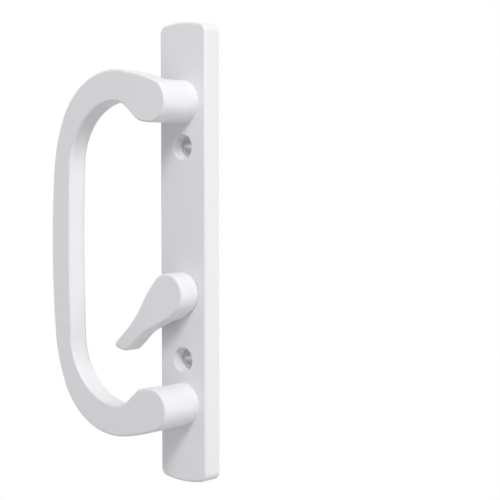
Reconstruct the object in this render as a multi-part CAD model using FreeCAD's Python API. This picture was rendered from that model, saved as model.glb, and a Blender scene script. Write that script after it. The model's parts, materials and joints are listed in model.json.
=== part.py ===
import FreeCAD, Part
import math
import os

# Inside handle of a sliding patio door: a narrow escutcheon plate, a D-shaped
# pull held on two posts by screws from behind, and a thumb lever that turns the
# lock through a keyed stem.
# All sizes are millimetres. Origin: middle of the plate's back face, midway
# between the two mounting holes. +X is to the right seen from the room, +Y goes
# into the door, +Z is up.

Vector = FreeCAD.Vector
AXIS = Vector(0, 1, 0)

# Escutcheon plate
plate_width = 28.6
plate_length = 215.9
plate_depth = 9.8
plate_corner_radius = 4.0
plate_end_radius = 55.0
plate_edge_radius = 1.2
side_wall = 2.4
front_wall = 2.6
rib_thickness = 1.8
rib_setback = 1.0
cavity_corner_radius = 2.0
cavity_overrun = 1.0

# Mounting holes for the screws that clamp the handle to the door
screw_spacing = 100.0
screw_hole_radius = 2.9
screw_recess_radius = 5.9
screw_recess_floor_radius = 4.7
screw_recess_depth = 5.0
screw_recess_edge_radius = 0.4
screw_boss_radius = 6.8

# Pull
post_offset = 71.0
post_radius = 10.0
post_height = 22.5
grip_depth = 11.3
grip_reach = 65.8
grip_bar_width = 12.6
grip_crest_distance = 23.2
grip_crest_rise = 15.0
grip_side_turn = 5.0
grip_bend_turn = 19.6
grip_shoulder_share = 0.883
grip_crest_radius = 110.0
grip_inner_side_turn = 2.6
grip_inner_bend_turn = 80.0
grip_throat_radius = 14.0
grip_neck_side_angle = 40.7
grip_neck_side_length = 7.0
grip_heel_corner_radius = 6.5
grip_heel_radius = 24.9
grip_heel_turn = 15.5
grip_front_edge_radius = 1.2
grip_back_edge_radius = 2.6

# Seats of the pull posts in the plate
spigot_radius = 5.5
spigot_length = 2.0
spigot_clearance = 0.05
spigot_end_gap = 0.1
pad_radius = 9.0

# Screws that hold the pull
pull_screw_radius = 2.45
pull_screw_length = 14.0
pull_thread_clearance = 0.05
pull_thread_runout = 2.8
pull_hole_clearance = 0.3
pan_head_radius = 4.6
pan_head_height = 2.8
pan_head_edge_radius = 1.6
pan_head_setback = 1.2
recess_arm_width = 1.3
recess_arm_length = 4.6
recess_depth = 1.6
lock_washer_radius = 4.3
lock_washer_clearance = 0.15
lock_washer_thickness = 1.2
lock_washer_slit = 0.9

# Thumb lever
lever_height = -18.5
lever_angle = 221.4
hub_radius = 9.9
hub_height = 11.4
hub_gap = 0.3
arm_depth = 9.4
arm_neck_depth = 7.0
arm_neck_distance = 15.0
arm_scoop_radius = 53.0
arm_step_wall = 0.7
arm_step_radius = 2.4
arm_tip_length = 13.1
arm_root_turn = 4.0
arm_flare_radius = 62.0
arm_flare_turn = 14.5
arm_taper_radius = 54.0
arm_taper_turn = 17.0
arm_tip_slant = 38.0
arm_tip_upper_radius = 1.8
arm_tip_lower_radius = 4.0
arm_front_edge_radius = 1.4
arm_back_edge_radius = 0.8

# Stem of the thumb lever and its bearing
stem_radius = 5.95
stem_end_setback = 0.4
stem_flats = 9.6
groove_depth = 1.45
socket_length = 6.4
socket_width = 2.2
socket_depth = 8.0
stem_clearance = 0.05
bushing_wall = 1.0
bushing_flange_width = 1.0
bushing_flange_thickness = 0.8
bushing_setback = 0.2
bearing_boss_wall = 2.4
flange_side_gap = 0.3

# Stop cam, spring, thrust washer and clip on the stem
cam_gap = 0.3
cam_thickness = 1.2
cam_radius = 8.2
cam_lug_wall_gap = 0.9
cam_lug_angle = 24.0
cam_bore_gap = 0.04
wave_height = 1.0
wave_thickness = 0.35
wave_count = 3
wave_samples = 36
wave_gap = 0.02
wave_width = 1.8
thrust_thickness = 0.6
thrust_width = 2.0
washer_clearance = 0.15
clip_setback = 0.9
clip_thickness = 0.7
clip_side_gap = 0.02
clip_width = 2.7
clip_mouth = 6.6
clip_relief = 1.1
clip_prong_angle = 34.0
clip_prong_count = 3
groove_width = 0.75
lever_travel = 90.0
stop_gap_angle = 2.0
stop_angle = 18.0
stop_cam_gap = 0.4
stop_overlap = 0.5
mechanism_side_gap = 0.2

# How near an edge lies to a place to be taken for it
edge_search = 0.05

# Levels along Y, from the room towards the door. The moving stack and the
# screw heads are set out from the back face, the rest from the front.
plate_front = -plate_depth
cavity_floor = plate_front + front_wall
post_front = plate_front - post_height
hub_front = plate_front - hub_height
hub_back = plate_front - hub_gap
flange_front = plate_front - bushing_flange_thickness
flange_recess = flange_front - hub_gap
clip_back = -clip_setback
clip_front = clip_back - clip_thickness
thrust_front = clip_front - thrust_thickness
cam_back = thrust_front - wave_height
cam_front = cam_back - cam_thickness
bearing_face = cam_front - cam_gap
pan_head_back = -pan_head_setback
pan_head_front = pan_head_back - pan_head_height
pad_face = pan_head_front - lock_washer_thickness
stem_end = -stem_end_setback

# Sizes that follow from the ones above
half_width = plate_width / 2
half_length = plate_length / 2
screw_offset = screw_spacing / 2
cavity_half_width = half_width - side_wall
cam_lug_radius = cavity_half_width - cam_lug_wall_gap
stop_outer_radius = cam_lug_radius + stop_overlap
mechanism_radius = cavity_half_width - mechanism_side_gap
bushing_bore_radius = stem_radius + stem_clearance
bushing_radius = bushing_bore_radius + bushing_wall
bushing_flange_radius = bushing_radius + bushing_flange_width
flange_recess_radius = bushing_flange_radius + flange_side_gap
bearing_boss_radius = bushing_radius + bearing_boss_wall
arm_step_distance = flange_recess_radius + arm_step_wall
washer_bore_radius = stem_radius + washer_clearance
groove_radius = stem_radius - groove_depth
clip_relief_radius = groove_radius + clip_relief
clip_radius = clip_relief_radius + clip_width
stop_inner_radius = cam_radius + stop_cam_gap


# Basic shapes

def cylinder(x, z, radius, y_from, y_to):
    return Part.makeCylinder(radius, y_to - y_from, Vector(x, y_from, z), AXIS)


def cone(x, z, radius_from, radius_to, y_from, y_to):
    return Part.makeCone(radius_from, radius_to, y_to - y_from, Vector(x, y_from, z), AXIS)


def block(x_from, x_to, y_from, y_to, z_from, z_to):
    corner = Vector(x_from, y_from, z_from)
    return Part.makeBox(x_to - x_from, y_to - y_from, z_to - z_from, corner)


def ring(x, z, outer, inner, y_from, y_to):
    return cylinder(x, z, outer, y_from, y_to).cut(cylinder(x, z, inner, y_from, y_to))


def slab(wire, y_from, y_to):
    face = Part.Face(wire)
    face.translate(Vector(0, y_from, 0))
    return face.extrude(Vector(0, y_to - y_from, 0))


def direction(angle):
    turn = math.radians(angle)
    return Vector(math.cos(turn), 0, math.sin(turn))


def left_of(heading):
    return Vector(-heading.z, 0, heading.x)


def arc_through(first, middle, last):
    return Part.Arc(first, middle, last).toShape()


def sector(radius_from, radius_to, centre, angle, width, y_from, y_to):
    # Part of a ring around a hub, centred on one direction.
    start = angle - width / 2
    end = angle + width / 2
    inner = [centre + direction(a) * radius_from for a in (start, angle, end)]
    outer = [centre + direction(a) * radius_to for a in (start, angle, end)]
    wire = Part.Wire([
        arc_through(*inner),
        Part.makeLine(inner[2], outer[2]),
        arc_through(*reversed(outer)),
        Part.makeLine(outer[0], inner[0]),
    ])
    return slab(wire, y_from, y_to)


def turned_right(start, heading, radius, turn):
    # End point and heading after an arc that bends to the right of the heading.
    centre = start - left_of(direction(heading)) * radius
    middle = centre + left_of(direction(heading - turn / 2)) * radius
    end = centre + left_of(direction(heading - turn)) * radius
    return middle, end, heading - turn


def turned_left(start, heading, radius, turn):
    centre = start + left_of(direction(heading)) * radius
    middle = centre - left_of(direction(heading + turn / 2)) * radius
    end = centre - left_of(direction(heading + turn)) * radius
    return middle, end, heading + turn


def edges_at_level(shape, level):
    return [edge for edge in shape.Edges
            if abs(edge.BoundBox.YMin - level) < edge_search
            and abs(edge.BoundBox.YMax - level) < edge_search]


def mirrored_below(shape):
    return shape.mirror(Vector(0, 0, 0), Vector(0, 0, 1))


# Escutcheon plate

def plate_outline(inset):
    # Straight sides, gently arched ends and rounded corners.
    side = half_width - inset
    end = half_length - inset
    arch = plate_end_radius - inset
    centre = end - arch
    shoulder = centre + math.sqrt(arch ** 2 - side ** 2)
    corners = [Vector(-side, 0, -shoulder), Vector(-side, 0, shoulder),
               Vector(side, 0, shoulder), Vector(side, 0, -shoulder)]
    return Part.Wire([
        Part.makeLine(corners[0], corners[1]),
        arc_through(corners[1], Vector(0, 0, end), corners[2]),
        Part.makeLine(corners[2], corners[3]),
        arc_through(corners[3], Vector(0, 0, -end), corners[0]),
    ])


def rounded_plate(inset, corner_radius, y_from, y_to):
    body = slab(plate_outline(inset), y_from, y_to)
    corners = [e for e in body.Edges if e.BoundBox.YLength > (y_to - y_from) / 2]
    return body.makeFillet(corner_radius, corners)


def plate_shell():
    body = rounded_plate(0, plate_corner_radius, plate_front, 0)
    body = body.makeFillet(plate_edge_radius, edges_at_level(body, plate_front))
    cavity = rounded_plate(side_wall, cavity_corner_radius, cavity_floor, cavity_overrun)
    return body.cut(cavity)


def plate_ribs():
    # One long rib down the middle and short ones across, all below the back face.
    end_rib = post_offset + pad_radius + screw_boss_radius
    low_rib = lever_height - mechanism_radius - rib_thickness * 2
    high_rib = lever_height + mechanism_radius + rib_thickness * 2
    middle_rib = (high_rib + screw_offset) / 2
    reach = half_length - side_wall / 2
    half = rib_thickness / 2
    top = -rib_setback
    ribs = [block(-half, half, cavity_floor, top, -reach, reach)]
    side = half_width - side_wall / 2
    for z in (-end_rib, -screw_offset, low_rib, high_rib, middle_rib, screw_offset, end_rib):
        ribs.append(block(-side, side, cavity_floor, top, z - half, z + half))
    return ribs


def lever_stops():
    # Two cast lugs that the cam's lug reaches at the ends of the lever's travel.
    rest = lever_angle - 180
    centre = Vector(0, 0, lever_height)
    offset = cam_lug_angle / 2 + stop_gap_angle + stop_angle / 2
    stops = []
    for angle in (rest + offset, rest - lever_travel - offset):
        stops.append(sector(stop_inner_radius, stop_outer_radius, centre, angle, stop_angle,
                            cavity_floor, cam_back))
    return stops


def escutcheon():
    body = plate_shell().fuse(plate_ribs())
    clearings = [cylinder(0, lever_height, mechanism_radius, cavity_floor, 0)]
    for z in (post_offset, -post_offset):
        clearings.append(cylinder(0, z, pad_radius, cavity_floor, 0))
    body = body.cut(clearings)
    bosses = [cylinder(0, lever_height, bearing_boss_radius, cavity_floor, bearing_face)]
    for z in (post_offset, -post_offset):
        bosses.append(cylinder(0, z, pad_radius, cavity_floor, pad_face))
    for z in (screw_offset, -screw_offset):
        bosses.append(cylinder(0, z, screw_boss_radius, cavity_floor, 0))
    body = body.fuse(bosses + lever_stops()).removeSplitter()
    cuts = [cylinder(0, lever_height, bushing_radius, plate_front, bearing_face)]
    for z in (post_offset, -post_offset):
        seat = plate_front + spigot_length + spigot_end_gap
        cuts.append(cylinder(0, z, spigot_radius + spigot_clearance, plate_front, seat))
        cuts.append(cylinder(0, z, pull_screw_radius + pull_hole_clearance, plate_front,
                             pad_face))
    for z in (screw_offset, -screw_offset):
        cuts.append(cylinder(0, z, screw_hole_radius, plate_front, 0))
        cuts.append(cone(0, z, screw_recess_radius, screw_recess_floor_radius, plate_front,
                         plate_front + screw_recess_depth))
    body = body.cut(cuts)
    mouths = [e for e in edges_at_level(body, plate_front)
              if abs(e.BoundBox.XMax - screw_recess_radius) < edge_search]
    return body.makeFillet(screw_recess_edge_radius, mouths)


# Pull

def side_and_bend_radii(width, height, side_turn, bend_turn):
    # Radii of two arcs that follow each other, from what they cover together.
    first = math.radians(side_turn)
    last = math.radians(side_turn + bend_turn)
    side_width = 1 - math.cos(first)
    side_height = math.sin(first)
    bend_width = math.cos(first) - math.cos(last)
    bend_height = math.sin(last) - math.sin(first)
    scale = side_width * bend_height - bend_width * side_height
    side_radius = (width * bend_height - bend_width * height) / scale
    bend_radius = (side_width * height - width * side_height) / scale
    return side_radius, bend_radius


def far_meeting(first, first_radius, second, second_radius):
    # Where two circles cross, on the right of the way from the first to the second.
    apart = second - first
    along = (first_radius ** 2 - second_radius ** 2 + apart.dot(apart)) / (2 * apart.Length)
    aside = math.sqrt(first_radius ** 2 - along ** 2)
    way = apart.normalize()
    return first + way * along - left_of(way) * aside


def right_turns(point, heading, steps):
    edges = []
    for radius, turn in steps:
        middle, end, heading = turned_right(point, heading, radius, turn)
        edges.append(arc_through(point, middle, end))
        point = end
    return edges, point, heading


def outer_side():
    # From the middle of the grip up over the crest and down to the upper post. The
    # last arc runs on from the shoulder and into the post's circle with no corner.
    bend_end = math.radians(grip_side_turn + grip_bend_turn)
    width = grip_reach - grip_crest_distance
    height = post_offset + grip_crest_rise
    shoulder = width * grip_shoulder_share
    side, bend = side_and_bend_radii(width - shoulder * math.cos(bend_end),
                                     height - shoulder * (1 - math.sin(bend_end)),
                                     grip_side_turn, grip_bend_turn)
    post = Vector(0, 0, post_offset)
    shoulder_centre = Vector(-grip_crest_distance, 0, height - shoulder)
    centre = far_meeting(shoulder_centre, grip_crest_radius - shoulder,
                         post, grip_crest_radius - post_radius)
    over = shoulder_centre - centre
    crest_turn = math.degrees(math.atan2(over.x, over.z))
    shoulder_turn = 90 - grip_side_turn - grip_bend_turn + crest_turn
    steps = ((side, grip_side_turn), (bend, grip_bend_turn), (shoulder, shoulder_turn))
    edges, point, _ = right_turns(Vector(-grip_reach, 0, 0), 90, steps)
    touch = post + (post - centre).normalize() * post_radius
    middle = centre + ((point + touch) * 0.5 - centre).normalize() * grip_crest_radius
    edges.append(arc_through(point, middle, touch))
    return edges, touch


def inner_side():
    # From the middle of the grip up round the finger space, down the neck and
    # round a heel that ends under the post. Heel and neck are set out first.
    under_post = Vector(0, 0, post_offset - post_radius)
    heel_side = left_of(direction(-grip_heel_turn))
    heel_start = under_post + Vector(0, 0, grip_heel_radius) - heel_side * grip_heel_radius
    corner = heel_start + heel_side * grip_heel_corner_radius
    down_neck = direction(-grip_neck_side_angle)
    touch = corner - left_of(down_neck) * grip_heel_corner_radius
    neck_start = touch - down_neck * grip_neck_side_length
    throat = neck_start - left_of(down_neck) * grip_throat_radius
    bend_end = math.radians(grip_inner_side_turn + grip_inner_bend_turn)
    inner_reach = grip_reach - grip_bar_width
    side, bend = side_and_bend_radii(inner_reach + throat.x - grip_throat_radius * math.cos(bend_end),
                                     throat.z + grip_throat_radius * math.sin(bend_end),
                                     grip_inner_side_turn, grip_inner_bend_turn)
    throat_turn = 90 - grip_inner_side_turn - grip_inner_bend_turn + grip_neck_side_angle
    steps = ((side, grip_inner_side_turn), (bend, grip_inner_bend_turn),
             (grip_throat_radius, throat_turn))
    edges, point, heading = right_turns(Vector(-inner_reach, 0, 0), 90, steps)
    edges.append(Part.makeLine(point, touch))
    middle, _, _ = turned_left(touch, heading, grip_heel_corner_radius,
                               -grip_heel_turn - heading)
    edges.append(arc_through(touch, middle, heel_start))
    middle, _, _ = turned_left(heel_start, -grip_heel_turn, grip_heel_radius, grip_heel_turn)
    edges.append(arc_through(heel_start, middle, under_post))
    return edges, under_post


def pull_outline():
    outer, outer_touch = outer_side()
    inner, inner_touch = inner_side()
    post_side = Vector(post_radius, 0, post_offset)
    cap = arc_through(outer_touch, post_side, inner_touch)
    upper = outer + [cap] + inner
    lower = [mirrored_below(edge) for edge in upper]
    return Part.Wire(Part.__sortEdges__(upper + lower))


def pull_handle():
    grip = slab(pull_outline(), post_front, post_front + grip_depth)
    grip = grip.makeFillet(grip_front_edge_radius, edges_at_level(grip, post_front))
    back = edges_at_level(grip, post_front + grip_depth)
    grip = grip.makeFillet(grip_back_edge_radius, back)
    posts = []
    threads = []
    mouth = plate_front + spigot_length
    bottom = pan_head_front - pull_screw_length - pull_thread_runout
    for z in (post_offset, -post_offset):
        posts.append(cylinder(0, z, post_radius, post_front + grip_depth / 2, plate_front))
        posts.append(cylinder(0, z, spigot_radius, plate_front, mouth))
        threads.append(cylinder(0, z, pull_screw_radius + pull_thread_clearance, bottom, mouth))
    return grip.fuse(posts).cut(threads).removeSplitter()


# Screws and washers of the pull

def pull_screw(z):
    head = cylinder(0, z, pan_head_radius, pan_head_front, pan_head_back)
    head = head.makeFillet(pan_head_edge_radius, edges_at_level(head, pan_head_back))
    half_arm = recess_arm_length / 2
    half_wide = recess_arm_width / 2
    floor = pan_head_back - recess_depth
    cross = [block(-half_arm, half_arm, floor, 0, z - half_wide, z + half_wide),
             block(-half_wide, half_wide, floor, 0, z - half_arm, z + half_arm)]
    shank = cylinder(0, z, pull_screw_radius, pan_head_front - pull_screw_length,
                     pan_head_front)
    return head.fuse(shank).cut(cross).removeSplitter()


def lock_washer(z):
    washer = ring(0, z, lock_washer_radius, pull_screw_radius + lock_washer_clearance,
                  pad_face, pan_head_front)
    half = lock_washer_slit / 2
    slit = block(0, lock_washer_radius, pad_face, pan_head_front, z - half, z + half)
    return washer.cut(slit)


# Thumb lever

def lever_outline():
    # Drawn with the arm along +X and the hub at the origin, then turned and moved.
    # The +Z side here is the lower one once the arm hangs down.
    heading = -arm_root_turn
    root = left_of(direction(heading)) * hub_radius
    middle, waist, heading = turned_right(root, heading, arm_flare_radius, arm_flare_turn)
    flare = arc_through(root, middle, waist)
    middle, tail, heading = turned_left(waist, heading, arm_taper_radius, arm_taper_turn)
    near_side = [flare, arc_through(waist, middle, tail)]
    far_side = [mirrored_below(edge) for edge in near_side]
    slope = math.tan(math.radians(heading))
    half_tip = tail.z + arm_tip_length * slope
    long_corner = Vector(tail.x + arm_tip_length, 0, -half_tip)
    shorter = half_tip * 2 * math.tan(math.radians(arm_tip_slant))
    short_corner = Vector(long_corner.x - shorter, 0, tail.z + (arm_tip_length - shorter) * slope)
    far_tail = Vector(tail.x, 0, -tail.z)
    tip = [Part.makeLine(tail, short_corner), Part.makeLine(short_corner, long_corner),
           Part.makeLine(long_corner, far_tail)]
    hub = arc_through(root, Vector(-hub_radius, 0, 0), Vector(root.x, 0, -root.z))
    return Part.Wire(Part.__sortEdges__(near_side + tip + far_side + [hub]))


def upright_edges(shape):
    # Straight edges along Y, from the hub outwards.
    found = [e for e in shape.Edges
             if isinstance(e.Curve, Part.Line) and e.BoundBox.YLength > hub_height / 2]
    return sorted(found, key=lambda edge: edge.BoundBox.XMin)


def finger_scoop(reach):
    # Hollow behind the arm: a step close to the hub, then a long shallow curve.
    neck = hub_front + arm_neck_depth
    centre = Vector(arm_neck_distance, neck + arm_scoop_radius, -reach)
    curve = Part.makeCylinder(arm_scoop_radius, reach * 2, centre, Vector(0, 0, 1))
    behind = block(arm_step_distance, reach, neck, 0, -reach, reach)
    deep = block(arm_step_distance, reach, hub_front + arm_depth, 0, -reach, reach)
    return curve.common(behind).fuse(deep)


def lever_arm():
    arm = slab(lever_outline(), hub_front, hub_back)
    reach = arm.BoundBox.XMax + hub_radius
    arm = arm.makeFillet(arm_tip_lower_radius, [upright_edges(arm)[-2]])
    arm = arm.makeFillet(arm_tip_upper_radius, [upright_edges(arm)[-1]])
    return arm.cut(finger_scoop(reach)).removeSplitter()


def lever_body():
    body = lever_arm()
    body = body.makeFillet(arm_front_edge_radius, edges_at_level(body, hub_front))
    step = [e for e in body.Edges
            if isinstance(e.Curve, Part.Line) and e.BoundBox.ZLength > hub_radius
            and abs(e.BoundBox.XMax - arm_step_distance) < edge_search
            and e.BoundBox.YMax < hub_back - edge_search]
    body = body.makeFillet(arm_step_radius, step)
    behind = [e for e in body.Edges
              if e.BoundBox.YMin > hub_front + arm_neck_depth - edge_search
              and e.BoundBox.YMax < hub_back - edge_search
              and e.BoundBox.ZLength < hub_radius]
    return body.makeFillet(arm_back_edge_radius, behind)


def placed_on_lever_axis(shape):
    placed = shape.copy()
    placed.rotate(Vector(0, 0, 0), AXIS, -lever_angle)
    placed.translate(Vector(0, 0, lever_height))
    return placed


def lever_stem():
    stem = cylinder(0, 0, stem_radius, flange_recess, stem_end)
    half_flats = stem_flats / 2
    flat = block(-stem_radius, stem_radius, cam_front, 0, half_flats, stem_radius * 2)
    groove_front = clip_front - (groove_width - clip_thickness) / 2
    groove = ring(0, 0, stem_radius * 2, groove_radius, groove_front,
                  groove_front + groove_width)
    waste = [flat, mirrored_below(flat), groove]
    half_long = socket_length / 2
    half_wide = socket_width / 2
    floor = stem_end - socket_depth
    waste.append(block(-half_long, half_long, floor, 0, -half_wide, half_wide))
    waste.append(block(-half_wide, half_wide, floor, 0, -half_long, half_long))
    return stem.cut(waste)


def thumb_lever():
    recess = cylinder(0, 0, flange_recess_radius, flange_recess, hub_back)
    body = lever_body().cut(recess).fuse(lever_stem())
    return placed_on_lever_axis(body.removeSplitter())


# Bearing, cam, washers and clip of the thumb lever

def lever_bushing():
    sleeve = cylinder(0, lever_height, bushing_radius, plate_front, bearing_face - bushing_setback)
    flange = cylinder(0, lever_height, bushing_flange_radius, flange_front, plate_front)
    bore = cylinder(0, lever_height, bushing_bore_radius, flange_front, bearing_face)
    return sleeve.fuse(flange).cut(bore).removeSplitter()


def stop_cam():
    disc = cylinder(0, 0, cam_radius, cam_front, cam_back)
    lug = sector(stem_radius, cam_lug_radius, Vector(0, 0, 0), 180, cam_lug_angle,
                 cam_front, cam_back)
    bore = cylinder(0, 0, stem_radius + cam_bore_gap, cam_front, cam_back)
    half = stem_flats / 2 + cam_bore_gap
    keyed = block(-cam_radius, cam_radius, cam_front, cam_back, -half, half).common(bore)
    return placed_on_lever_axis(disc.fuse(lug).cut(keyed).removeSplitter())


def wave_circle(radius):
    swing = (wave_height - wave_thickness) / 2 - wave_gap
    middle_level = cam_back + (wave_height - wave_thickness) / 2
    points = []
    for step in range(wave_samples):
        angle = 360 * step / wave_samples
        rise = swing * math.cos(math.radians(angle * wave_count))
        points.append(direction(angle) * radius + Vector(0, middle_level + rise, 0))
    curve = Part.BSplineCurve()
    curve.interpolate(points, PeriodicFlag=True)
    return curve.toShape()


def wave_washer():
    surface = Part.makeRuledSurface(wave_circle(washer_bore_radius),
                                    wave_circle(washer_bore_radius + wave_width))
    return placed_on_lever_axis(surface.extrude(Vector(0, wave_thickness, 0)))


def thrust_washer():
    washer = ring(0, 0, washer_bore_radius + thrust_width, washer_bore_radius, thrust_front,
                  clip_front)
    return placed_on_lever_axis(washer)


def retaining_clip():
    # An E-shaped clip: an open ring with prongs that grip the groove, the first of
    # them opposite the mouth.
    front = clip_front + clip_side_gap
    back = clip_back - clip_side_gap
    body = ring(0, 0, clip_radius, clip_relief_radius, front, back)
    prongs = []
    for step in range(clip_prong_count):
        angle = 180 + 360 * step / clip_prong_count
        prongs.append(sector(groove_radius + clip_side_gap, clip_radius - clip_width / 2,
                             Vector(0, 0, 0), angle, clip_prong_angle, front, back))
    mouth = block(0, clip_radius * 2, front, back, -clip_mouth / 2, clip_mouth / 2)
    return placed_on_lever_axis(body.cut(mouth).fuse(prongs).removeSplitter())


# Export

def main():
    shapes = {
        "escutcheon": escutcheon(),
        "pull_handle": pull_handle(),
        "pull_screw_upper": pull_screw(post_offset),
        "pull_screw_lower": pull_screw(-post_offset),
        "lock_washer_upper": lock_washer(post_offset),
        "lock_washer_lower": lock_washer(-post_offset),
        "thumb_lever": thumb_lever(),
        "lever_bushing": lever_bushing(),
        "stop_cam": stop_cam(),
        "wave_washer": wave_washer(),
        "thrust_washer": thrust_washer(),
        "retaining_clip": retaining_clip(),
    }
    os.makedirs("parts", exist_ok=True)
    for name, shape in shapes.items():
        shape.exportStep(os.path.join("parts", name + ".step"))
        print(name, "valid", shape.isValid(), "solids", len(shape.Solids),
              "volume", round(shape.Volume))


main()
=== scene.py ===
import json
import math
import bpy
import bmesh
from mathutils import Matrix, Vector


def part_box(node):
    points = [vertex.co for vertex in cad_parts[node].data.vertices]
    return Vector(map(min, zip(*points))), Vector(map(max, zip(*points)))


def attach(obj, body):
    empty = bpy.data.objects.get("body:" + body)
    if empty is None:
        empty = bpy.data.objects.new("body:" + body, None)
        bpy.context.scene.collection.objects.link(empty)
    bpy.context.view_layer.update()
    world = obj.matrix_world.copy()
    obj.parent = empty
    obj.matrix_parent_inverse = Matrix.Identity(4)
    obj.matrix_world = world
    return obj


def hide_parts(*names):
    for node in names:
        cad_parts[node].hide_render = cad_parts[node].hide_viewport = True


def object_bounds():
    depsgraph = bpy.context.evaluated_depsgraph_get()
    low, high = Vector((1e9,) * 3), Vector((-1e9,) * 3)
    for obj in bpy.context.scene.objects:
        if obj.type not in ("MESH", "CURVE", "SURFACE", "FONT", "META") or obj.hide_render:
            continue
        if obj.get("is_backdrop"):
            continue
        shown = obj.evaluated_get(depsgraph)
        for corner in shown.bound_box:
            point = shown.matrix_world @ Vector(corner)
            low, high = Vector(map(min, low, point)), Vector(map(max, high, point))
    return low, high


# Inside handle of a sliding patio door, dressed for its picture. Lengths are
# metres unless a name says millimetres. +X is to the right seen from the room,
# +Y goes into the door, +Z is up.

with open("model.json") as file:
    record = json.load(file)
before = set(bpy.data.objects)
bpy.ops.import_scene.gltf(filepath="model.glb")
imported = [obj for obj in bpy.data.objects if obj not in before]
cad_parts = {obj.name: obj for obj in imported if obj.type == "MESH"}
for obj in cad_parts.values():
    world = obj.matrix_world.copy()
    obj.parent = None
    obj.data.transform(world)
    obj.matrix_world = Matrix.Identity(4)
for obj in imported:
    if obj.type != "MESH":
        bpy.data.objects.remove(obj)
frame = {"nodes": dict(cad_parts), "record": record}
cad_low, cad_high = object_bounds()


# Escutcheon plate
# A zinc die casting, powder coated white on a hanger. The powder covers the front
# and the rim fully and thins out in the pockets behind, where the grey casting
# shows. Two screws, whose seats stay bare, clamp it to the door. The grey of those
# seats is partly real bare metal and partly painted shade deep in their recesses.

def linear(hex_colour):
    # An sRGB hex value as linear red, green, blue and alpha.
    channels = []
    for start in (1, 3, 5):
        value = int(hex_colour[start:start + 2], 16) / 255
        low = value / 12.92
        high = ((value + 0.055) / 1.055) ** 2.4
        channels.append(low if value <= 0.04045 else high)
    return (*channels, 1.0)


def add_node(material, kind, settings=None, links=None):
    # Settings name a socket or a property; links name a socket and what feeds it.
    # A number is a socket's place, where a node has several of one name.
    node = material.node_tree.nodes.new(kind)
    for name, value in (settings or {}).items():
        if isinstance(name, int) or name in node.inputs:
            node.inputs[name].default_value = value
        else:
            setattr(node, name, value)
    for name, source in (links or {}).items():
        material.node_tree.links.new(source, node.inputs[name])
    return node


def empty_material(name):
    material = bpy.data.materials.new(name)
    material.use_nodes = True
    material.node_tree.nodes.clear()
    return material


def per_metre(size_mm):
    # Scale of a pattern whose features are this many millimetres apart.
    return 1000 / size_mm


MIX_COLOUR_A = 6
MIX_COLOUR_B = 7
MIX_COLOUR_OUT = 2
ENAMEL_WHITE = "#ECECEC"
ENAMEL_WHITE_THIN = "#E7E7E7"
ENAMEL_FLOW_MM = 38.0
ENAMEL_PEEL_MM = 1.5
ENAMEL_PEEL_HEIGHT = 0.000004
ENAMEL_ROUGHNESS = 0.42
ENAMEL_IOR = 1.5
CAST_ZINC = "#A9AAAC"
CAST_ZINC_DARK = "#87888B"
CAST_FLOW_MM = 7.0
CAST_FLOW_SWIRL = 1.2
# The die's pits are drawn a few times coarser than they are, so that they show.
CAST_PIT_MM = 0.5
CAST_PIT_HEIGHT = 0.00003
CAST_ROUGHNESS = 0.5


def powder_coated_zinc(name, bare_share):
    # Baked powder coat: an even satin white whose skin has a faint orange peel.
    # bare_share builds the 0 to 1 share of bare casting from the material and
    # the place on the object.
    material = empty_material(name)
    place = add_node(material, "ShaderNodeTexCoord").outputs["Object"]
    flow = add_node(material, "ShaderNodeTexNoise",
                    {"Scale": per_metre(ENAMEL_FLOW_MM), "Detail": 2.0}, {"Vector": place})
    white = add_node(material, "ShaderNodeMix",
                     {"data_type": "RGBA", MIX_COLOUR_A: linear(ENAMEL_WHITE),
                      MIX_COLOUR_B: linear(ENAMEL_WHITE_THIN)},
                     {0: flow.outputs[0]})
    cast_flow = add_node(material, "ShaderNodeTexNoise",
                         {"Scale": per_metre(CAST_FLOW_MM), "Detail": 5.0,
                          "Distortion": CAST_FLOW_SWIRL},
                         {"Vector": place})
    grey = add_node(material, "ShaderNodeMix",
                    {"data_type": "RGBA", MIX_COLOUR_A: linear(CAST_ZINC_DARK),
                     MIX_COLOUR_B: linear(CAST_ZINC)},
                    {0: cast_flow.outputs[0]})
    bare = bare_share(material, place)
    colour = add_node(material, "ShaderNodeMix", {"data_type": "RGBA"},
                      {0: bare, MIX_COLOUR_A: white.outputs[MIX_COLOUR_OUT],
                       MIX_COLOUR_B: grey.outputs[MIX_COLOUR_OUT]})
    roughness = add_node(material, "ShaderNodeMapRange",
                         {"To Min": ENAMEL_ROUGHNESS, "To Max": CAST_ROUGHNESS},
                         {"Value": bare})
    peel = add_node(material, "ShaderNodeTexNoise",
                    {"Scale": per_metre(ENAMEL_PEEL_MM), "Detail": 1.0}, {"Vector": place})
    peel_bump = add_node(material, "ShaderNodeBump", {"Distance": ENAMEL_PEEL_HEIGHT},
                         {"Height": peel.outputs[0]})
    pits = add_node(material, "ShaderNodeTexNoise",
                    {"Scale": per_metre(CAST_PIT_MM), "Detail": 3.0}, {"Vector": place})
    pit_bump = add_node(material, "ShaderNodeBump", {"Distance": CAST_PIT_HEIGHT},
                        {"Height": pits.outputs[0], "Strength": bare,
                         "Normal": peel_bump.outputs[0]})
    skin = add_node(material, "ShaderNodeBsdfPrincipled", {"IOR": ENAMEL_IOR},
                    {"Base Color": colour.outputs[MIX_COLOUR_OUT],
                     "Roughness": roughness.outputs[0],
                     "Metallic": bare, "Normal": pit_bump.outputs[0]})
    add_node(material, "ShaderNodeOutputMaterial", {}, {"Surface": skin.outputs[0]})
    return material


PLATE_SIDE_WALL = 0.0024
PLATE_FRONT_WALL = 0.0026
SCREW_RECESS_RADIUS = 0.0059
SCREW_RECESS_DEPTH = 0.005
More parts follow.
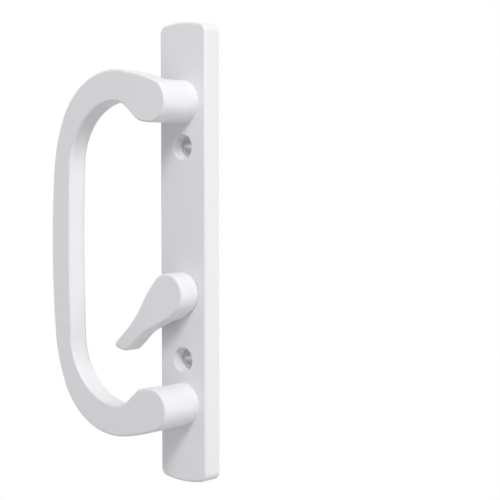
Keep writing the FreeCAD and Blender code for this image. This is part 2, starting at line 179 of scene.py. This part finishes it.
# How far past a wall or a floor its own surface still counts.
WALL_MARGIN = 0.0001
RECESS_MARGIN = 0.0003
BARE_AT_RIM = 0.15
BARE_AT_POCKET_FLOOR = 0.95
# Share of bare grey on the screw seats: partly real masking, partly painted shade in the
# recess.
SEAT_BARE_AND_PAINTED_SHADE_SHARE = 0.6
OVERSPRAY_PATCH_MM = 5.0
OVERSPRAY_FADE = (0.75, 1.25)


def plate_bareness_and_seat_shade(material, place):
    # Share of bare casting: behind the plate it grows with depth, broken up in
    # patches, with none outside the side walls. In front only the seats and holes
    # of the mounting screws, masked before coating, are mostly bare. Their grey is
    # partly real and partly painted shade that darkens the recesses where shade falls.
    low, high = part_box("escutcheon")
    pocket = high - Vector((PLATE_SIDE_WALL, 0, PLATE_SIDE_WALL))
    pocket_floor = low.y + PLATE_FRONT_WALL
    hole_spacing = frame["record"]["mounts"][0]["dims"]["spacing_y_mm"] / 1000
    split = add_node(material, "ShaderNodeSeparateXYZ", {}, {"Vector": place})
    across = add_node(material, "ShaderNodeMath", {"operation": "ABSOLUTE"},
                      {0: split.outputs["X"]})
    along = add_node(material, "ShaderNodeMath", {"operation": "ABSOLUTE"},
                     {0: split.outputs["Z"]})
    from_hole = add_node(material, "ShaderNodeMath",
                         {"operation": "SUBTRACT", 1: hole_spacing / 2},
                         {0: along.outputs[0]})
    off_axis = add_node(material, "ShaderNodeCombineXYZ", {},
                        {"X": split.outputs["X"], "Y": from_hole.outputs[0]})
    away = add_node(material, "ShaderNodeVectorMath", {"operation": "LENGTH"},
                    {0: off_axis.outputs[0]})
    in_width = add_node(material, "ShaderNodeMath",
                        {"operation": "LESS_THAN", 1: pocket.x + WALL_MARGIN},
                        {0: across.outputs[0]})
    in_height = add_node(material, "ShaderNodeMath",
                         {"operation": "LESS_THAN", 1: pocket.z + WALL_MARGIN},
                         {0: along.outputs[0]})
    off_recess = add_node(material, "ShaderNodeMath",
                          {"operation": "GREATER_THAN",
                           1: SCREW_RECESS_RADIUS + RECESS_MARGIN},
                          {0: away.outputs["Value"]})
    behind = add_node(material, "ShaderNodeMath",
                      {"operation": "GREATER_THAN", 1: pocket_floor - WALL_MARGIN},
                      {0: split.outputs["Y"]})
    depth = add_node(material, "ShaderNodeMapRange",
                     {"From Min": high.y, "From Max": pocket_floor,
                      "To Min": BARE_AT_RIM, "To Max": BARE_AT_POCKET_FLOOR},
                     {"Value": split.outputs["Y"]})
    patches = add_node(material, "ShaderNodeTexNoise",
                       {"Scale": per_metre(OVERSPRAY_PATCH_MM), "Detail": 3.0},
                       {"Vector": place})
    cover = add_node(material, "ShaderNodeMath", {"operation": "ADD"},
                     {0: depth.outputs[0], 1: patches.outputs[0]})
    share = add_node(material, "ShaderNodeMapRange",
                     {"interpolation_type": "SMOOTHSTEP", "From Min": OVERSPRAY_FADE[0],
                      "From Max": OVERSPRAY_FADE[1]},
                     {"Value": cover.outputs[0]})
    for limit in (in_width, in_height, off_recess, behind):
        share = add_node(material, "ShaderNodeMath", {"operation": "MULTIPLY"},
                         {0: share.outputs[0], 1: limit.outputs[0]})
    below_seat = add_node(material, "ShaderNodeMath",
                          {"operation": "GREATER_THAN",
                           1: low.y + SCREW_RECESS_DEPTH - WALL_MARGIN},
                          {0: split.outputs["Y"]})
    seat = add_node(material, "ShaderNodeMath", {"operation": "SUBTRACT"},
                    {0: below_seat.outputs[0], 1: off_recess.outputs[0]})
    # Painted shade: the seats' bare grey also darkens the deep recess the way a shadow would.
    masked = add_node(material, "ShaderNodeMath",
                      {"operation": "MULTIPLY", 1: SEAT_BARE_AND_PAINTED_SHADE_SHARE}, {0: seat.outputs[0]})
    bare = add_node(material, "ShaderNodeMath", {"operation": "MAXIMUM"},
                    {0: share.outputs[0], 1: masked.outputs[0]})
    return bare.outputs[0]


def dress(node, material):
    frame["nodes"][node].data.materials[0] = material


dress("escutcheon", powder_coated_zinc("powder_coated_die_cast_plate", plate_bareness_and_seat_shade))


# Pull handle
# One zinc casting with its two posts, coated white like the plate. The spigots
# that seat in the plate and the faces of the threads stay bare.

def bare_behind(level):
    def share(material, place):
        split = add_node(material, "ShaderNodeSeparateXYZ", {}, {"Vector": place})
        masked = add_node(material, "ShaderNodeMath", {"operation": "GREATER_THAN", 1: level},
                          {0: split.outputs["Y"]})
        return masked.outputs[0]
    return share


COAT_EDGE_MARGIN = 0.00005
plate_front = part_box("escutcheon")[0].y
dress("pull_handle", powder_coated_zinc("powder_coated_die_cast_pull",
                                        bare_behind(plate_front + COAT_EDGE_MARGIN)))


# Thumb lever
# A smaller zinc casting of the same finish. Its stem is masked before coating,
# because it turns in the bushing.

LEVER_GAP = 0.0003
dress("thumb_lever", powder_coated_zinc("powder_coated_die_cast_lever",
                                        bare_behind(plate_front - LEVER_GAP / 2)))


# Screws that hold the pull
# Pan-head machine screws of about 5 mm with a cross recess, cold headed and
# thread rolled from steel wire, then zinc plated. They go through the plate
# into the posts from behind.

SCREW_SEGMENTS = 40
SCREW_HEAD_RADIUS = 0.0046
HEAD_HEIGHT = 0.0028
HEAD_EDGE_ROUNDING = 0.0016
HEAD_EDGE_STEPS = 6
SCREW_SHANK_RADIUS = 0.00245
SCREW_PITCH = 0.0008
THREAD_DEPTH = 0.00049
THREAD_FLAT_SHARE = 0.12
THREAD_ROWS_PER_PITCH = 8
THREAD_RUN_OUT = 0.0016
TIP_CHAMFER = 0.0007
SCREW_SHARP_DEGREES = 35


def thread_radius(turn, from_head, from_tip):
    # Rolled thread: sloping flanks with a narrow crest and a narrow root.
    slope = abs(2 * (turn % 1.0) - 1)
    height = (slope - THREAD_FLAT_SHARE) / (1 - 2 * THREAD_FLAT_SHARE)
    height = min(1.0, max(0.0, height))
    cut = THREAD_DEPTH * height * min(1.0, from_head / THREAD_RUN_OUT)
    radius = SCREW_SHANK_RADIUS - cut
    return min(radius, SCREW_SHANK_RADIUS - TIP_CHAMFER + from_tip)


def screw_rings(head_back, tip):
    # Radii along the screw's axis, from the middle of the head to the tip.
    head_front = head_back - HEAD_HEIGHT
    rings = []
    for step in range(HEAD_EDGE_STEPS + 1):
        turn = math.pi / 2 * step / HEAD_EDGE_STEPS
        radius = SCREW_HEAD_RADIUS - HEAD_EDGE_ROUNDING * (1 - math.sin(turn))
        level = head_back - HEAD_EDGE_ROUNDING * (1 - math.cos(turn))
        rings.append([(radius, level)] * SCREW_SEGMENTS)
    rings.append([(SCREW_HEAD_RADIUS, head_front)] * SCREW_SEGMENTS)
    count = round((head_front - tip) / SCREW_PITCH * THREAD_ROWS_PER_PITCH)
    for row in range(count + 1):
        level = head_front + (tip - head_front) * row / count
        ring = []
        for segment in range(SCREW_SEGMENTS):
            turn = level / SCREW_PITCH + segment / SCREW_SEGMENTS
            ring.append((thread_radius(turn, head_front - level, level - tip), level))
        rings.append(ring)
    return rings


def closed_mesh(name, shape):
    bmesh.ops.recalc_face_normals(shape, faces=shape.faces)
    mesh = bpy.data.meshes.new(name)
    shape.to_mesh(mesh)
    shape.free()
    return mesh


def screw_mesh(name, axis_x, axis_z, head_back, tip):
    shape = bmesh.new()
    rows = []
    for ring in screw_rings(head_back, tip):
        row = []
        for segment, (radius, level) in enumerate(ring):
            turn = 2 * math.pi * segment / SCREW_SEGMENTS
            row.append(shape.verts.new((axis_x + radius * math.cos(turn), level,
                                        axis_z + radius * math.sin(turn))))
        rows.append(row)
    for first, second in zip(rows, rows[1:]):
        for segment in range(SCREW_SEGMENTS):
            after = (segment + 1) % SCREW_SEGMENTS
            shape.faces.new((first[segment], first[after], second[after], second[segment]))
    shape.faces.new(reversed(rows[0]))
    shape.faces.new(rows[-1])
    return closed_mesh(name, shape)


CROSS_WIDTH = 0.0013
CROSS_LENGTH = 0.0046
CROSS_DEPTH = 0.0016
CROSS_FLOOR_SHARE = 0.55


def recess_cutter_mesh(axis_x, axis_z, head_back):
    # Two crossed wedges that narrow towards the floor of the recess.
    shape = bmesh.new()
    floor = head_back - CROSS_DEPTH
    above = head_back + CROSS_DEPTH
    for size_x, size_z in ((CROSS_LENGTH, CROSS_WIDTH), (CROSS_WIDTH, CROSS_LENGTH)):
        corners = []
        for level, share in ((floor, CROSS_FLOOR_SHARE), (above, 2 - CROSS_FLOOR_SHARE)):
            half_x = size_x / 2 * (share if size_x > size_z else 1)
            half_z = size_z / 2 * (share if size_z > size_x else 1)
            for x, z in ((-1, -1), (1, -1), (1, 1), (-1, 1)):
                corners.append(shape.verts.new((axis_x + x * half_x, level,
                                                axis_z + z * half_z)))
        shape.faces.new(corners[:4])
        shape.faces.new(reversed(corners[4:]))
        for start in range(4):
            after = (start + 1) % 4
            shape.faces.new((corners[start], corners[start + 4], corners[after + 4],
                             corners[after]))
    return closed_mesh("recess_cutter", shape)


def add_object(name, data):
    thing = bpy.data.objects.new(name, data)
    bpy.context.scene.collection.objects.link(thing)
    return thing


def cut_recess(screw, cutter_mesh):
    cutter = add_object("recess_cutter", cutter_mesh)
    cut = screw.modifiers.new("recess", "BOOLEAN")
    cut.operation = "DIFFERENCE"
    cut.solver = "EXACT"
    cut.use_self = True
    cut.object = cutter
    bpy.context.view_layer.update()
    shaped = screw.evaluated_get(bpy.context.evaluated_depsgraph_get())
    mesh = bpy.data.meshes.new_from_object(shaped)
    screw.modifiers.clear()
    screw.data = mesh
    bpy.data.objects.remove(cutter)


ZINC_PLATE = "#C3C7CB"
ZINC_PLATE_DULL = "#A9AEB4"
PLATING_MOTTLE_MM = 1.6
# The grain of barrel tumbling is finer than this; it is drawn coarser to show.
PLATING_GRAIN_MM = 0.25
PLATING_GRAIN_HEIGHT = 0.000006
# How much rougher the dull patches are, and how much smoother the bright ones.
PLATING_DULLER = 0.08
PLATING_BRIGHTER = 0.06


def zinc_plated_steel(name, roughness):
    # Bright zinc plate with a thin blue passivation: a cool grey metal, slightly
    # mottled, with the fine grain that barrel tumbling leaves.
    material = empty_material(name)
    place = add_node(material, "ShaderNodeTexCoord").outputs["Object"]
    mottle = add_node(material, "ShaderNodeTexNoise",
                      {"Scale": per_metre(PLATING_MOTTLE_MM), "Detail": 4.0},
                      {"Vector": place})
    colour = add_node(material, "ShaderNodeMix",
                      {"data_type": "RGBA", MIX_COLOUR_A: linear(ZINC_PLATE_DULL),
                       MIX_COLOUR_B: linear(ZINC_PLATE)},
                      {0: mottle.outputs[0]})
    dull = add_node(material, "ShaderNodeMapRange",
                    {"To Min": roughness + PLATING_DULLER,
                     "To Max": roughness - PLATING_BRIGHTER},
                    {"Value": mottle.outputs[0]})
    grain = add_node(material, "ShaderNodeTexNoise",
                     {"Scale": per_metre(PLATING_GRAIN_MM), "Detail": 2.0},
                     {"Vector": place})
    bump = add_node(material, "ShaderNodeBump", {"Distance": PLATING_GRAIN_HEIGHT},
                    {"Height": grain.outputs[0]})
    metal = add_node(material, "ShaderNodeBsdfPrincipled", {"Metallic": 1.0},
                     {"Base Color": colour.outputs[MIX_COLOUR_OUT],
                      "Roughness": dull.outputs[0], "Normal": bump.outputs[0]})
    add_node(material, "ShaderNodeOutputMaterial", {}, {"Surface": metal.outputs[0]})
    return material


SCREW_ROUGHNESS = 0.3
screw_steel = zinc_plated_steel("zinc_plated_screw_steel", SCREW_ROUGHNESS)
for side in ("upper", "lower"):
    node = "pull_screw_" + side
    low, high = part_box(node)
    middle = (low + high) / 2
    mesh = screw_mesh("machine_screw_" + side, middle.x, middle.z, high.y, low.y)
    screw = add_object("machine_screw_" + side, mesh)
    cut_recess(screw, recess_cutter_mesh(middle.x, middle.z, high.y))
    screw.data.materials.clear()
    screw.data.materials.append(screw_steel)
    screw.data.shade_smooth()
    screw.data.set_sharp_from_angle(angle=math.radians(SCREW_SHARP_DEGREES))
    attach(screw, "handle")
    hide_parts(node)


# Lock washers
# Split spring washers between the screw heads and the plate, zinc plated like
# the screws.

for side in ("upper", "lower"):
    dress("lock_washer_" + side, screw_steel)


# Lever bushing
# A flanged sleeve of natural acetal, injection moulded and pressed into the
# plate, on which the lever's stem turns.

ACETAL_WHITE = "#EDEBE3"
ACETAL_CREAM = "#E6E3D8"
ACETAL_ROUGHNESS = 0.42
ACETAL_IOR = 1.48
ACETAL_MILKY_SHARE = 0.15
ACETAL_MILKY_DEPTH = 0.0008
MOULD_FLOW_MM = 9.0
# The mould's spark marks are drawn a few times coarser than they are, to show.
MOULD_SPARK_MM = 0.3
MOULD_SPARK_HEIGHT = 0.000004


def moulded_acetal(name):
    # Acetal is a slightly translucent, waxy white, satin from the spark-eroded mould.
    material = empty_material(name)
    place = add_node(material, "ShaderNodeTexCoord").outputs["Object"]
    flow = add_node(material, "ShaderNodeTexNoise", {"Scale": per_metre(MOULD_FLOW_MM)},
                    {"Vector": place})
    colour = add_node(material, "ShaderNodeMix",
                      {"data_type": "RGBA", MIX_COLOUR_A: linear(ACETAL_WHITE),
                       MIX_COLOUR_B: linear(ACETAL_CREAM)},
                      {0: flow.outputs[0]})
    spark = add_node(material, "ShaderNodeTexNoise",
                     {"Scale": per_metre(MOULD_SPARK_MM), "Detail": 2.0}, {"Vector": place})
    bump = add_node(material, "ShaderNodeBump", {"Distance": MOULD_SPARK_HEIGHT},
                    {"Height": spark.outputs[0]})
    plastic = add_node(material, "ShaderNodeBsdfPrincipled",
                       {"Roughness": ACETAL_ROUGHNESS, "IOR": ACETAL_IOR,
                        "Subsurface Weight": ACETAL_MILKY_SHARE,
                        "Subsurface Scale": ACETAL_MILKY_DEPTH},
                       {"Base Color": colour.outputs[MIX_COLOUR_OUT],
                        "Normal": bump.outputs[0]})
    add_node(material, "ShaderNodeOutputMaterial", {}, {"Surface": plastic.outputs[0]})
    return material


dress("lever_bushing", moulded_acetal("moulded_acetal"))


# Stop cam and thrust washer
# Blanked from steel strip and zinc plated. The cam's flats key it to the stem,
# and its lug runs between two stops cast in the plate.

STAMPED_ROUGHNESS = 0.38
stamped_steel = zinc_plated_steel("zinc_plated_stamped_steel", STAMPED_ROUGHNESS)
dress("stop_cam", stamped_steel)
dress("thrust_washer", stamped_steel)


# Wave washer and retaining clip
# Hardened spring steel strip, formed, then blackened in hot oil. The washer
# keeps the lever seated, and the clip snaps into the stem's groove.

OIL_BLACK = "#4B4947"
OIL_BLACK_WORN = "#63605D"
OIL_SHEEN_ROUGHNESS = (0.32, 0.5)
TEMPER_PATCH_MM = 2.2


def oil_blackened_steel(name):
    # The hot oil leaves a patchy skin from near black to brown-grey, with an
    # oily sheen.
    material = empty_material(name)
    place = add_node(material, "ShaderNodeTexCoord").outputs["Object"]
    temper = add_node(material, "ShaderNodeTexNoise",
                      {"Scale": per_metre(TEMPER_PATCH_MM), "Detail": 4.0},
                      {"Vector": place})
    colour = add_node(material, "ShaderNodeMix",
                      {"data_type": "RGBA", MIX_COLOUR_A: linear(OIL_BLACK),
                       MIX_COLOUR_B: linear(OIL_BLACK_WORN)},
                      {0: temper.outputs[0]})
    sheen = add_node(material, "ShaderNodeMapRange",
                     {"To Min": OIL_SHEEN_ROUGHNESS[0], "To Max": OIL_SHEEN_ROUGHNESS[1]},
                     {"Value": temper.outputs[0]})
    metal = add_node(material, "ShaderNodeBsdfPrincipled", {"Metallic": 1.0},
                     {"Base Color": colour.outputs[MIX_COLOUR_OUT],
                      "Roughness": sheen.outputs[0]})
    add_node(material, "ShaderNodeOutputMaterial", {}, {"Surface": metal.outputs[0]})
    return material


spring_steel = oil_blackened_steel("oil_blackened_spring_steel")
dress("wave_washer", spring_steel)
dress("retaining_clip", spring_steel)


# Floor
# Matt pale paint, well under the handle, which hangs as it does on its door. It
# shows as white that keeps the handle's shadow near it and loses it far away.

FLOOR_DROP = 0.16
FLOOR_HALF_SIZE = 40.0
FLOOR_PALE = "#D2D2D2"
FLOOR_SHADOW_SHARE = 0.35
FLOOR_SHADOW_REACH = (0.3, 0.55)


def seen_share(material):
    # 1 for rays that show this to the eye, straight, by a gloss or through glass,
    # and 0 for those that gather its light.
    path = add_node(material, "ShaderNodeLightPath")
    seen = path.outputs["Is Camera Ray"]
    for ray in ("Is Glossy Ray", "Is Transmission Ray"):
        either = add_node(material, "ShaderNodeMath", {"operation": "MAXIMUM"},
                          {0: seen, 1: path.outputs[ray]})
        seen = either.outputs[0]
    return seen


floor_mesh = bpy.data.meshes.new("floor")
corners = [(x * FLOOR_HALF_SIZE, y * FLOOR_HALF_SIZE, 0)
           for x, y in ((-1, -1), (1, -1), (1, 1), (-1, 1))]
floor_mesh.from_pydata(corners, [], [(0, 1, 2, 3)])
floor = add_object("floor", floor_mesh)
floor.location.z = cad_low.z - FLOOR_DROP
floor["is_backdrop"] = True

# Dead matt paint with no sheen, so that only the shadow is seen on it.
floor_paint = empty_material("pale_floor_paint")
matt = add_node(floor_paint, "ShaderNodeBsdfDiffuse", {"Color": linear(FLOOR_PALE)})
plain_white = add_node(floor_paint, "ShaderNodeEmission", {"Color": linear("#FFFFFF")})
place = add_node(floor_paint, "ShaderNodeTexCoord").outputs["Object"]
away = add_node(floor_paint, "ShaderNodeVectorMath", {"operation": "LENGTH"}, {0: place})
shadow_share = add_node(floor_paint, "ShaderNodeMapRange",
                        {"interpolation_type": "SMOOTHSTEP",
                         "From Min": FLOOR_SHADOW_REACH[0],
                         "From Max": FLOOR_SHADOW_REACH[1],
                         "To Min": FLOOR_SHADOW_SHARE, "To Max": 0.0},
                        {"Value": away.outputs["Value"]})
toned = add_node(floor_paint, "ShaderNodeMixShader", {},
                 {0: shadow_share.outputs[0], 1: plain_white.outputs[0],
                  2: matt.outputs[0]})
shown = add_node(floor_paint, "ShaderNodeMixShader", {},
                 {0: seen_share(floor_paint), 1: matt.outputs[0], 2: toned.outputs[0]})
add_node(floor_paint, "ShaderNodeOutputMaterial", {}, {"Surface": shown.outputs[0]})
floor_mesh.materials.append(floor_paint)


# Air and soft boxes
# Even, faintly cool air that shows as white, and four square soft boxes: the
# main one high on the right, and weaker ones to the right, behind and left.

AIR_STRENGTH = 0.42
AIR_PALE = "#F7F5FF"
SOFT_BOX_DISTANCE = 1.3

air = bpy.data.worlds.new("studio_air")
bpy.context.scene.world = air
air.use_nodes = True
air.node_tree.nodes.clear()
lit = add_node(air, "ShaderNodeBackground",
               {"Color": linear(AIR_PALE), "Strength": AIR_STRENGTH})
white = add_node(air, "ShaderNodeBackground", {"Color": linear("#FFFFFF"), "Strength": 1.0})
shown = add_node(air, "ShaderNodeMixShader", {},
                 {0: seen_share(air), 1: lit.outputs[0], 2: white.outputs[0]})
add_node(air, "ShaderNodeOutputWorld", {}, {"Surface": shown.outputs[0]})


def from_direction(azimuth, elevation, distance):
    # Degrees. Azimuth 0 is straight in front of the handle, 90 to its right.
    turn = math.radians(azimuth)
    rise = math.radians(elevation)
    return Vector((math.sin(turn) * math.cos(rise), -math.cos(turn) * math.cos(rise),
                   math.sin(rise))) * distance


def soft_box(name, azimuth, elevation, size, power):
    # Degrees, metres and watts.
    light = bpy.data.lights.new(name, "AREA")
    light.shape = "SQUARE"
    light.size = size
    light.energy = power
    box = add_object(name, light)
    box.location = from_direction(azimuth, elevation, SOFT_BOX_DISTANCE)
    box.rotation_euler = (-box.location).to_track_quat("-Z", "Y").to_euler()


soft_box("key_soft_box", 49, 44, 0.4, 10.0)
soft_box("right_soft_box", 95, 20, 0.35, 2.9)
soft_box("rear_soft_box", 135, -8, 0.3, 1.8)
soft_box("left_soft_box", -70, -5, 0.3, 1.5)


# Camera
# A long lens from the right of the handle and a little above its middle, aimed
# beside it, so that the handle stands left of the frame's middle.

CAMERA_AZIMUTH = 40.14
CAMERA_ELEVATION = 3.43
CAMERA_DISTANCE = 0.6881
CAMERA_LENS_MM = 104.5
CAMERA_SENSOR_MM = 36.0
CAMERA_AIM = Vector((0.01938, 0.01629, 0.00134))

camera_data = bpy.data.cameras.new("camera")
camera_data.lens = CAMERA_LENS_MM
camera_data.sensor_width = CAMERA_SENSOR_MM
camera = add_object("camera", camera_data)
towards_camera = from_direction(CAMERA_AZIMUTH, CAMERA_ELEVATION, CAMERA_DISTANCE)
camera.location = CAMERA_AIM + towards_camera
camera.rotation_euler = (-towards_camera).to_track_quat("-Z", "Y").to_euler()
bpy.context.scene.camera = camera
bpy.context.scene.view_settings.view_transform = "Standard"

low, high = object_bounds()
